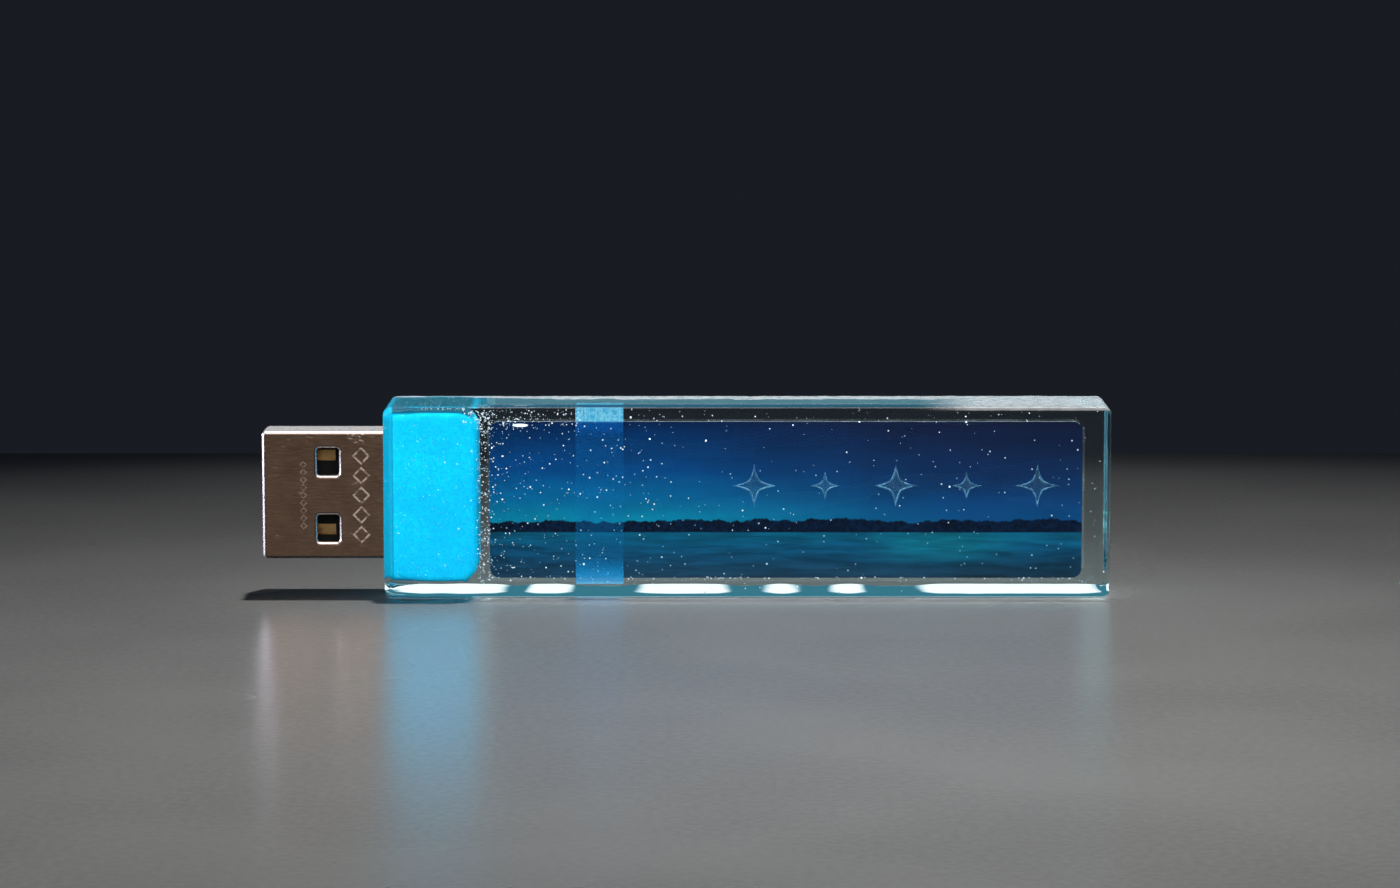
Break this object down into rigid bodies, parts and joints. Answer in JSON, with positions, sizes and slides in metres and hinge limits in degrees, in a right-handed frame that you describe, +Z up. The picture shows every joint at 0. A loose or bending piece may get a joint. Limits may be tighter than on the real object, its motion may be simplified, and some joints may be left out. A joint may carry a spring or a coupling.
{
  "type": "usb flash drive",
  "caption": "Bar-shaped USB-A flash drive: a steel plug with its memory module, cast into a clear resin bar with a cyan coat, a laminated picture and a blue strip.",
  "frame": {"origin": "middle of the underside of the whole drive, plug included, as it stands on its long narrow side", "axes": "+X along the drive from the plug's tip to the far end, +Y from the picture side to the rear side, +Z up, along the plug's 12 mm width"},
  "size_m": [0.079, 0.0094, 0.018],
  "materials": {
    "plated_steel": "satin nickel",
    "gold_plate": "gold flash on copper",
    "solder_mask": "satin",
    "silicon": "polished",
    "ceramic_chip": "matt",
    "crystal_can": "satin",
    "moulding_compound": "matt",
    "black_plastic": "satin",
    "cyan_resin": "pigmented resin with fine glitter",
    "printed_paper": "gloss print of a night sky over water",
    "clear_film": "clear",
    "blue_translucent_film": "translucent, frosted",
    "clear_resin": "clear cast resin with silver glitter"
  },
  "bodies": {
    "root": {"plug_shell": "plated_steel", "module_board": "solder_mask", "contact_pad_power": "gold_plate", "contact_pad_data_minus": "gold_plate", "contact_pad_data_plus": "gold_plate", "contact_pad_ground": "gold_plate", "module_mould": "moulding_compound", "module_holder": "black_plastic", "controller_die": "silicon", "flash_die_1": "silicon", "flash_die_2": "silicon", "clock_crystal": "crystal_can", "capacitor_1": "ceramic_chip", "capacitor_2": "ceramic_chip", "capacitor_3": "ceramic_chip", "capacitor_4": "ceramic_chip", "resistor_1": "ceramic_chip", "resistor_2": "ceramic_chip", "inner_cap": "black_plastic", "cyan_resin_coat": "cyan_resin", "picture_print": "printed_paper", "front_film": "clear_film", "rear_film": "clear_film", "blue_strip": "blue_translucent_film", "clear_star_1": "clear_film", "clear_star_2": "clear_film", "clear_star_3": "clear_film", "clear_star_4": "clear_film", "clear_star_5": "clear_film", "front_clear_pour": "clear_resin", "rear_clear_pour": "clear_resin"}
  },
  "joints": []
}
